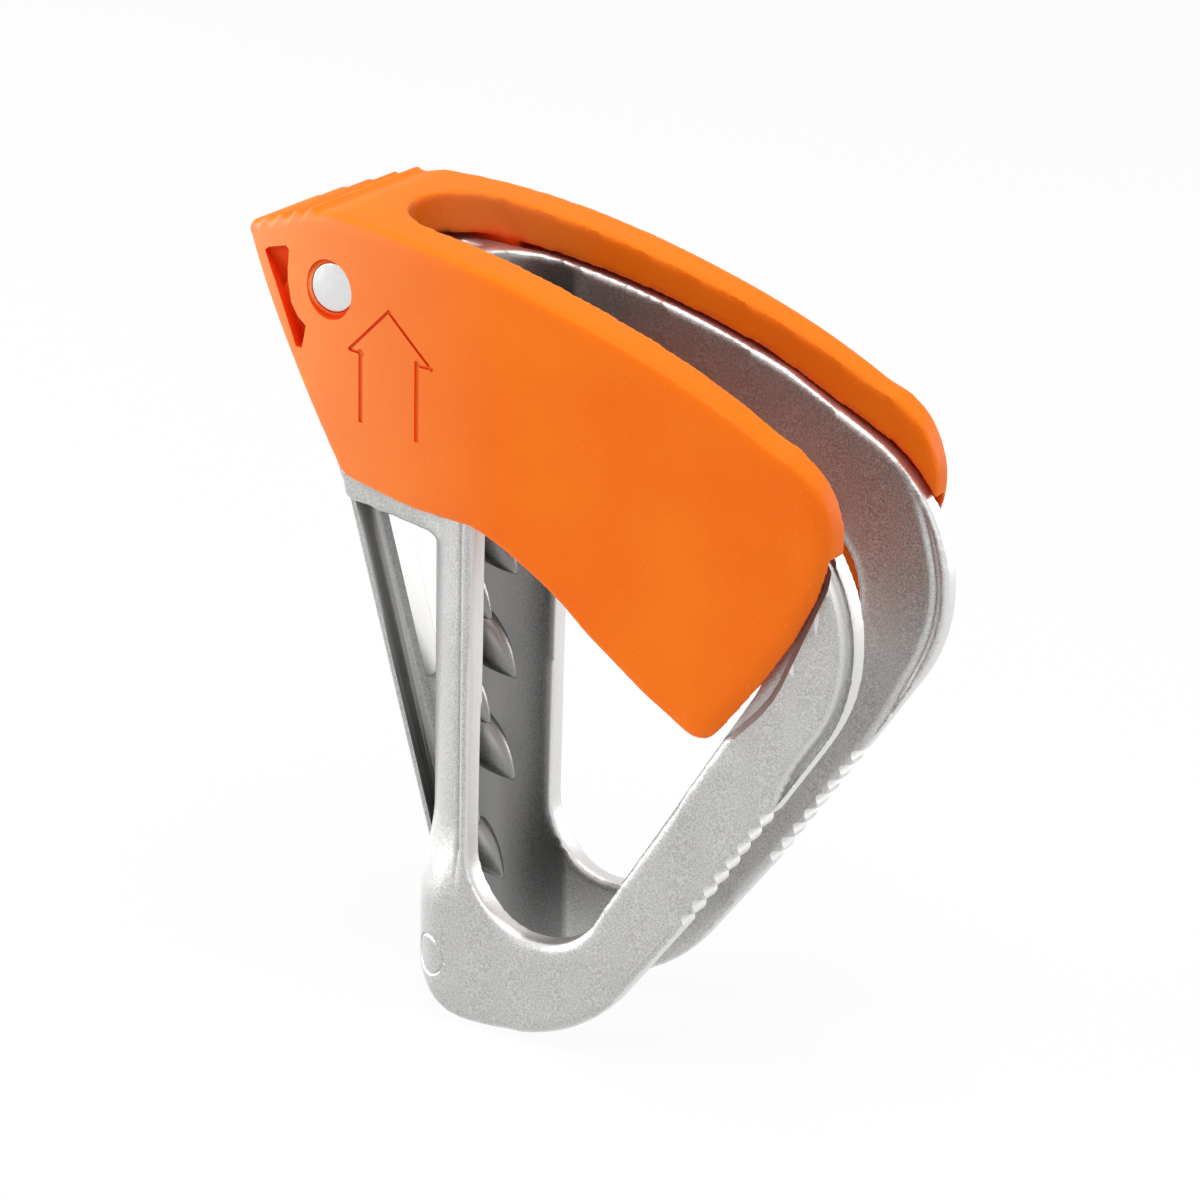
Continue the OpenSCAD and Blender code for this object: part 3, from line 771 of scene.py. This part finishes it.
def cut_notches(casting):
    """Cuts the wave of grip notches across the lower limb of both plates."""
    run, first = limb_places()
    out = Vector((run.y, -run.x))
    steps = 12
    wave = [i / steps for i in range(NOTCHES * steps + 1)]
    depths = [NOTCH_DEPTH * (0.5 - 0.5 * cos(2 * pi * turn)) ** 0.8 for turn in wave]
    places = [first + (0.5 - turn) * NOTCH_PITCH * run - depth * out for turn, depth in zip(wave, depths)]
    places = [places[0] + 1.5 * out] + places + [places[-1] + 1.5 * out]
    for side in SIDES:
        shape = bmesh.new()
        side_prism(shape, [tuple(p) for p in places], side * 4.5, side * 12)
        combine(casting, solid("notches", shape), "DIFFERENCE")


def tooth(shape, side, row):
    """A leaf-shaped tooth with a crest on top and a sharp tip that points down and out."""
    tip_z = TOP_TOOTH_Z - row * TOOTH_PITCH + (TOOTH_OFFSET if side < 0 else 0)
    back = LAST_TOOTH_BACK if row == TOOTH_ROWS - 1 else 0
    root = Vector((CHANNEL_X - CHANNEL_R - 0.6 - back, side * TOOTH_SIDE, tip_z + TOOTH_LENGTH * sin(TOOTH_DIP)))
    along = Vector((cos(TOOTH_DIP), 0, -sin(TOOTH_DIP)))
    across, top = Vector((0, 1, 0)), Vector((sin(TOOTH_DIP), 0, cos(TOOTH_DIP)))
    loops = []
    for step in range(15):
        share = step / 15
        size = TOOTH_R * (1 - share**2.2)
        ring = []
        for i in range(32):
            a = 2 * pi * i / 32
            crest = max(0.0, cos(a))
            radius = size * (0.82 + 0.3 * crest**4)
            off = radius * (cos(a) * top + sin(a) * across)
            ring.append(shape.verts.new(root + along * (TOOTH_LENGTH * share) + off))
        loops.append([shape.edges.new((ring[i - 1], ring[i])) for i in range(32)])
    for low, high in zip(loops, loops[1:]):
        bmesh.ops.bridge_loops(shape, edges=low + high)
    bmesh.ops.edgeloop_fill(shape, edges=loops[0])
    tip = shape.verts.new(root + along * TOOTH_LENGTH)
    for edge in loops[-1]:
        shape.faces.new((edge.verts[0], edge.verts[1], tip))


class AscenderFrameSettings(PropertyGroup):
    """Sizes and finish of the cast frame."""

    grain_depth: FloatProperty(
        name="Grain depth", description="Strength of the blasted grain",
        default=0.35, min=0.0, max=1.0, subtype="FACTOR",
    )
    edge_rounds: IntProperty(
        name="Edge rounding", description="Rounds of softening on the casting's edges", default=9, min=1, max=30
    )
    grid: FloatProperty(
        name="Grid", description="Size of the modelling grid, in millimetres", default=0.3, min=0.2, max=0.6
    )


class ASCENDER_OT_cast_frame(Operator):
    """Builds the cast frame with its channel, plates, eye, fin and notches"""

    bl_idname = "ascender.cast_frame"
    bl_label = "Cast frame"
    bl_options = {"REGISTER", "UNDO"}

    def execute(self, context):
        settings = context.scene.ascender_frame
        plates = [plate_solid(side) for side in SIDES]
        body = join([channel_solid()] + plates + [ledge_solid()] + head_solid(), "cast_frame")
        weld(body, settings.grid)
        ease(body, settings.edge_rounds)
        ease(body, FOOT_ROUNDS, lambda x, y, z: rise(-z, 13, 17) * rise(abs(y), 5.6, 7.0) * (1 - rise(x, 6, 14)))
        round_eye(body)
        press_in(body)
        thin = body.modifiers.new("Thin", "DECIMATE")
        thin.ratio = CASTING_TRIANGLES / sum(len(face.vertices) - 2 for face in body.data.polygons)
        settle(body)
        combine(body, fin_solid(), "UNION")
        cut_notches(body)
        cut_seats(body)
        dress(body, blasted_casting(settings))
        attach(body, "frame")
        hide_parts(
            "rope_channel", "channel_foot", "front_plate", "rear_plate", "front_cheek", "rear_cheek",
            "head_web", "lever_ledge", "fin_rear_wall", "fin_lower_web",
        )
        return {"FINISHED"}


class ASCENDER_OT_teeth(Operator):
    """Builds the two columns of leaf-shaped teeth in the channel"""

    bl_idname = "ascender.teeth"
    bl_label = "Teeth"
    bl_options = {"REGISTER", "UNDO"}

    def execute(self, context):
        shape = bmesh.new()
        for side in SIDES:
            for row in range(TOOTH_ROWS):
                tooth(shape, side, row)
        teeth = solid("cast_teeth", shape)
        tube = bmesh.new()
        round_bar(tube, (CHANNEL_X, 0, -40), (CHANNEL_X, 0, 60), CHANNEL_R + 0.3, CHANNEL_R + 0.3, 96)
        combine(teeth, solid("tube", tube), "INTERSECT")
        dress(teeth, bpy.data.materials["bead_blasted_casting"], 30.0)
        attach(teeth, "frame")
        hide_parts("channel_teeth")
        return {"FINISHED"}


# ---- The lever ----
def turned(places, angle):
    """Places turned about the pivot, as the lever sees the frame when it opens."""
    c, s = cos(angle), sin(angle)
    return [
        (PIVOT[0] + (x - PIVOT[0]) * c - (z - PIVOT[1]) * s, PIVOT[1] + (x - PIVOT[0]) * s + (z - PIVOT[1]) * c)
        for x, z in places
    ]


def room_tools():
    """The hollow inside the lever: wide where the plates pass, narrow round the cheeks."""
    wide = bmesh.new()
    near, far = ROOM_HALF - ROOM_LEAN * 40, ROOM_HALF + ROOM_LEAN * 60
    plan_prism(wide, [(-40, -near), (60, -far), (60, far), (-40, near)], -50, 100)
    wide = solid("wide", wide)
    cap = bmesh.new()
    side_prism(cap, under_cap(), -30, 30)
    combine(wide, solid("cap", cap), "INTERSECT")
    passing = bmesh.new()
    x0 = PIVOT[0] + ROOM_FROM
    half = [(x0, -80), (120, -80), (120, 120), (x0, 120)]
    side_prism(passing, half, -30, 30)
    passing = solid("passing", passing)
    for share in (0.5, 1.0):
        more = bmesh.new()
        side_prism(more, turned(half, -OPEN_ANGLE * share), -30, 30)
        combine(passing, solid("more", more), "UNION")
    combine(wide, passing, "INTERSECT")
    narrow = bmesh.new()
    side_prism(narrow, under_cap(), -CHEEK_OUT - ROOM_GAP, CHEEK_OUT + ROOM_GAP)
    narrow = solid("narrow", narrow)
    nose = bmesh.new()
    right = PIVOT[0] - CHEEK_R - 0.5
    side_prism(nose, turned([(-200, -200), (right, -200), (right, 200), (-200, 200)], -OPEN_ANGLE), -20, 20)
    combine(narrow, solid("nose", nose), "DIFFERENCE")
    middle = bmesh.new()
    side_prism(middle, under_cap(), -2.4, 2.4)
    return [wide, narrow, solid("middle", middle)]


def lever_block():
    """The lever's outline, cut to its width seen from above."""
    shape = bmesh.new()
    side_prism(shape, lever_outline(), -14, 14)
    block = solid("lever", shape)
    xs = [NOSE_X - 0.5 + 0.8 * i for i in range(26)] + [0, 6, 12, 20, 40]
    plan = bmesh.new()
    plan_prism(plan, [(x, -lever_half(x)) for x in xs] + [(x, lever_half(x)) for x in reversed(xs)], -50, 100)
    combine(block, solid("plan", plan), "INTERSECT")
    return block


def add_ridges(lever):
    """Grip ridges across the thumb pad."""
    shape = bmesh.new()
    up, ahead = Vector((-0.35, 0.94)), Vector((0.94, 0.35))
    for x, z, half in RIDGES:
        base = Vector((x, z)) - 0.25 * up
        corners = ((-0.95, -0.4), (0.95, -0.4), (0.2, 0.42), (-0.2, 0.42))
        side_prism(shape, [tuple(base + across * ahead + rise_up * up) for across, rise_up in corners], -half, half)
    combine(lever, solid("ridges", shape), "UNION")


def cut_slots(lever):
    """Blind slots behind the pivot: deeper in the solid nose, shallow beside the cheeks."""
    nose = SLOT_EDGE[:4] + [(-17.7, 37.5), (-18.9, 35.2), (-19.2, 35.4)]
    for side in SIDES:
        for places, floor in ((nose, NOSE_FLOOR), (SLOT_EDGE, CHEEK_FLOOR)):
            shape = bmesh.new()
            side_prism(shape, places, side * floor, side * 20)
            combine(lever, solid("slot", shape), "DIFFERENCE")


def inside(places, x, z):
    """Whether a place lies within a closed outline."""
    crossed = False
    for (x0, z0), (x1, z1) in zip(places, places[1:] + places[:1]):
        if (z0 > z) != (z1 > z) and x < x0 + (z - z0) * (x1 - x0) / (z1 - z0):
            crossed = not crossed
    return crossed


def end_share(x, y, z):
    """How much of the extra rounding a place near the free end of an arm gets."""
    past = (x - END_AT[0]) * END_OUT[0] - (z - END_AT[1]) * END_OUT[1]
    return rise(past, -7, -2.5) * rise(abs(y), 7.0, 9.5)


def shade_slots(lever):
    """Marks the floors of the blind slots for painted shade, which darkens them as in a deeper slot."""
    mark = lever.data.attributes.new("slot_floor_shade", "FLOAT", "FACE")
    for face, value in zip(lever.data.polygons, mark.data):
        x, y, z = face.center
        outward = face.normal.y * y > 0
        value.value = float(outward and 5.4 < abs(y) < lever_half(x) - 0.12 and inside(SLOT_EDGE, x, z))


def engrave_arrow(lever):
    """The up arrow on both arms: a thin roof and two wider legs."""
    left, apex, right = (-10.8, 32.1), (-6.8, 35.9), (-2.6, 32.0)
    roof = [(left, apex), (apex, right), (left, (-9.5, 32.0)), (right, (-4.1, 32.1))]
    legs = [((-9.6, 32.1), (-9.6, 26.5)), ((-4.0, 32.2), (-4.0, 26.0))]
    strokes = [(start, end, ARROW_LINE) for start, end in roof] + [(start, end, ARROW_LEG) for start, end in legs]
    for (x0, z0), (x1, z1), width in strokes:
        shape = bmesh.new()
        for side in SIDES:
            start = Vector((x0, side * (lever_half(x0) + 0.8), z0))
            end = Vector((x1, side * (lever_half(x1) + 0.8), z1))
            ahead = (end - start).normalized()
            out = (Vector((0, 1, 0)) - ahead * ahead.y).normalized()
            turn = Matrix((ahead, out, ahead.cross(out))).transposed().to_4x4()
            size = Matrix.Diagonal(((end - start).length + width, 1.6 + 2 * ARROW_DEPTH, width, 1))
            bmesh.ops.create_cube(shape, size=1.0, matrix=Matrix.Translation((start + end) / 2) @ turn @ size)
        combine(lever, solid("stroke", shape), "DIFFERENCE")


class AscenderLeverSettings(PropertyGroup):
    """Sizes and colours of the moulded lever."""

    edge_rounds: IntProperty(
        name="Edge rounding", description="Rounds of softening on the outer edges", default=22, min=1, max=60
    )
    grid: FloatProperty(
        name="Grid", description="Size of the modelling grid, in millimetres", default=0.265, min=0.2, max=0.6
    )
    body: FloatVectorProperty(
        name="Body colour", description="Main orange of the lever",
        default=linear("#f27712")[:3], min=0, max=1, subtype="COLOR",
    )
    deep: FloatVectorProperty(
        name="Deep colour", description="Slightly deeper orange of the flow marks",
        default=linear("#ec6a0e")[:3], min=0, max=1, subtype="COLOR",
    )
    # Painted shade: the redder orange that slots and grooves are tinted with
    shade_colour: FloatVectorProperty(
        name="Recess colour", description="Redder orange in slots and grooves",
        default=linear("#ec4a10")[:3], min=0, max=1, subtype="COLOR",
    )


class ASCENDER_OT_lever(Operator):
    """Builds the moulded lever with its two arms, thumb pad, slots and arrow"""

    bl_idname = "ascender.lever"
    bl_label = "Lever"
    bl_options = {"REGISTER", "UNDO"}

    def execute(self, context):
        settings = context.scene.ascender_lever
        lever = lever_block()
        weld(lever, settings.grid)
        ease(lever, settings.edge_rounds)
        ease(lever, END_ROUNDS, end_share)
        add_ridges(lever)
        for tool in room_tools():
            combine(lever, tool, "DIFFERENCE")
        slot = bmesh.new()
        wide = SLOT_HALF + SLOT_FLARE * 65
        ends = [(SLOT_X, -SLOT_HALF), (60, -wide), (60, wide), (SLOT_X, SLOT_HALF)]
        plan_prism(slot, ends + arc((SLOT_X, 0), SLOT_HALF, 92, 268, 32), -50, 100)
        combine(lever, solid("slot", slot), "DIFFERENCE")
        weld(lever, settings.grid)
        ease(lever, INNER_ROUNDS)
        cut_slots(lever)
        end, relief = abs(PIN_LOW.y), PIN_RADIUS + 0.4
        for start, stop, radius in ((-20, 20, PIN_RADIUS), (-end, -20, relief), (end, 20, relief)):
            bore = bmesh.new()
            round_bar(bore, (PIVOT[0], start, PIVOT[1]), (PIVOT[0], stop, PIVOT[1]), radius, radius, 64)
            combine(lever, solid("bore", bore), "DIFFERENCE")
        engrave_arrow(lever)
        shade_slots(lever)
        lever.name = "lever_moulding"
        dress(lever, moulded_polyamide(settings))
        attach(lever, "lever")
        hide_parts("lever_front_arm", "lever_rear_arm", "thumb_pad")
        return {"FINISHED"}


# ---- Pin and spring ----
class ASCENDER_OT_pin_and_spring(Operator):
    """Builds the pivot pin and finishes the return spring"""

    bl_idname = "ascender.pin_and_spring"
    bl_label = "Pin and spring"
    bl_options = {"REGISTER", "UNDO"}

    def execute(self, context):
        shape = bmesh.new()
        start, end = (PIVOT[0], PIN_LOW.y, PIVOT[1]), (PIVOT[0], PIN_HIGH.y, PIVOT[1])
        round_bar(shape, start, end, PIN_RADIUS, PIN_RADIUS, 96)
        rims = [e for e in shape.edges if all(abs(abs(v.co.y) - PIN_HIGH.y) < 0.01 for v in e.verts)]
        bmesh.ops.bevel(shape, geom=rims, offset=0.18, segments=4, profile=0.5, affect="EDGES", material=-1)
        pin = solid("turned_pivot_pin", shape)
        dress(pin, ground_steel("ground_steel_pin", "#dedede", 0.3))
        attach(pin, "lever")
        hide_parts("pivot_pin")
        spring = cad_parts["return_spring"].data
        spring.materials.clear()
        spring.materials.append(ground_steel("spring_wire", "#8e8e90", 0.32))
        return {"FINISHED"}


# ---- Stage ----
CAMERA_TURN, CAMERA_RISE, CAMERA_ROLL = radians(29.377), radians(19.691), radians(1.112)
CAMERA_AIM, CAMERA_AWAY = Vector((0.007147, 0.0, 0.011733)), 0.3613


def stage_camera():
    """Adds the camera, turned round the object, raised and rolled a little."""
    a, e, o = CAMERA_TURN, CAMERA_RISE, CAMERA_ROLL
    right = Vector((cos(a), sin(a), 0))
    back = Vector((sin(a) * cos(e), -cos(a) * cos(e), sin(e)))
    up = back.cross(right)
    right, up = right * cos(o) + up * sin(o), up * cos(o) - right * sin(o)
    data = bpy.data.cameras.new("camera")
    data.lens, data.sensor_width, data.clip_start = 135, 36, 0.01
    camera = bpy.data.objects.new("camera", data)
    turn = Matrix((right, up, back)).transposed().to_4x4()
    camera.matrix_world = Matrix.Translation(CAMERA_AIM + back * CAMERA_AWAY) @ turn
    bpy.context.scene.collection.objects.link(camera)
    bpy.context.scene.camera = camera


def soft_light(name, place, size, power):
    """Adds a round white lamp that faces the object."""
    data = bpy.data.lights.new(name, "AREA")
    data.shape, data.size, data.energy = "DISK", size, power
    lamp = bpy.data.objects.new(name, data)
    aim = CAMERA_AIM - Vector(place)
    lamp.matrix_world = Matrix.Translation(place) @ aim.to_track_quat("-Z", "Y").to_matrix().to_4x4()
    bpy.context.scene.collection.objects.link(lamp)


def seen_or_mirrored(tree):
    """Gives 1 for a ray from the camera or from a mirroring surface, and 0 for one that only lights."""
    path = add(tree, "LightPath")
    return join_values(tree, "MAXIMUM", path.outputs["Is Camera Ray"], path.outputs["Is Glossy Ray"])


class ASCENDER_OT_stage(Operator):
    """Sets the pale floor, the soft studio lamps, the world and the camera"""

    bl_idname = "ascender.stage"
    bl_label = "Stage"
    bl_options = {"REGISTER", "UNDO"}

    def execute(self, context):
        shape = bmesh.new()
        bmesh.ops.create_grid(shape, x_segments=1, y_segments=1, size=3.0)
        bmesh.ops.translate(shape, verts=shape.verts, vec=(0, 0, CAD_BOX[0][2] - 0.0002))
        mesh = bpy.data.meshes.new("floor")
        shape.to_mesh(mesh)
        shape.free()
        floor = bpy.data.objects.new("floor", mesh)
        context.scene.collection.objects.link(floor)
        paper, tree = new_material("white_paper_floor")
        lit = add(tree, "BsdfDiffuse", {"Color": linear("#f4f4f4")})
        plain = add(tree, "Emission", {"Color": (1, 1, 1, 1), "Strength": 1.0})
        share = add(tree, "Math", {"operation": "MULTIPLY", 1: 0.92}, {0: seen_or_mirrored(tree)})
        mixed = {0: share.outputs["Value"], 1: lit.outputs["BSDF"], 2: plain.outputs["Emission"]}
        paper_white = add(tree, "MixShader", links=mixed)
        add(tree, "OutputMaterial", links={"Surface": paper_white.outputs["Shader"]})
        mesh.materials.append(paper)
        world = bpy.data.worlds.new("studio")
        world.use_nodes = True
        tree = world.node_tree
        tree.nodes.clear()
        strength = remap(tree, seen_or_mirrored(tree), 0.0, 1.0, to_low=0.3)
        sky = add(tree, "Background", {"Color": (1, 1, 1, 1)}, {"Strength": strength})
        add(tree, "OutputWorld", links={"Surface": sky.outputs["Background"]})
        context.scene.world = world
        soft_light("key", (-0.50, -0.26, 0.13), 0.28, 1.6)
        soft_light("back", (-0.48, 0.11, 0.08), 0.18, 0.9)
        soft_light("overhead", (0.12, -0.10, 0.54), 0.40, 2.3)
        soft_light("fill", (0.35, -0.35, 0.20), 0.35, 0.3)
        soft_light("rim", (0.27, 0.47, 0.06), 0.16, 0.6)
        context.scene.view_settings.view_transform = "Standard"
        stage_camera()
        return {"FINISHED"}


class ASCENDER_PT_panel(Panel):
    """Lists the steps that build the ascender"""

    bl_label = "Rope ascender"
    bl_idname = "ASCENDER_PT_panel"
    bl_space_type = "VIEW_3D"
    bl_region_type = "UI"
    bl_category = "Ascender"

    def draw(self, context):
        for step in STEPS:
            self.layout.operator(step.bl_idname)
        for name in ("ascender_frame", "ascender_lever"):
            box = self.layout.box()
            group = getattr(context.scene, name)
            for prop in group.bl_rna.properties:
                if prop.identifier not in ("rna_type", "name"):
                    box.prop(group, prop.identifier)


STEPS = (ASCENDER_OT_cast_frame, ASCENDER_OT_teeth, ASCENDER_OT_lever, ASCENDER_OT_pin_and_spring, ASCENDER_OT_stage)
CLASSES = (AscenderFrameSettings, AscenderLeverSettings) + STEPS + (ASCENDER_PT_panel,)


def register():
    for item in CLASSES:
        bpy.utils.register_class(item)
    bpy.types.Scene.ascender_frame = PointerProperty(type=AscenderFrameSettings)
    bpy.types.Scene.ascender_lever = PointerProperty(type=AscenderLeverSettings)


def unregister():
    del bpy.types.Scene.ascender_lever
    del bpy.types.Scene.ascender_frame
    for item in reversed(CLASSES):
        bpy.utils.unregister_class(item)


def main():
    register()
    bpy.ops.ascender.cast_frame()
    bpy.ops.ascender.teeth()
    bpy.ops.ascender.lever()
    bpy.ops.ascender.pin_and_spring()
    bpy.ops.ascender.stage()


if __name__ == "__main__":
    main()
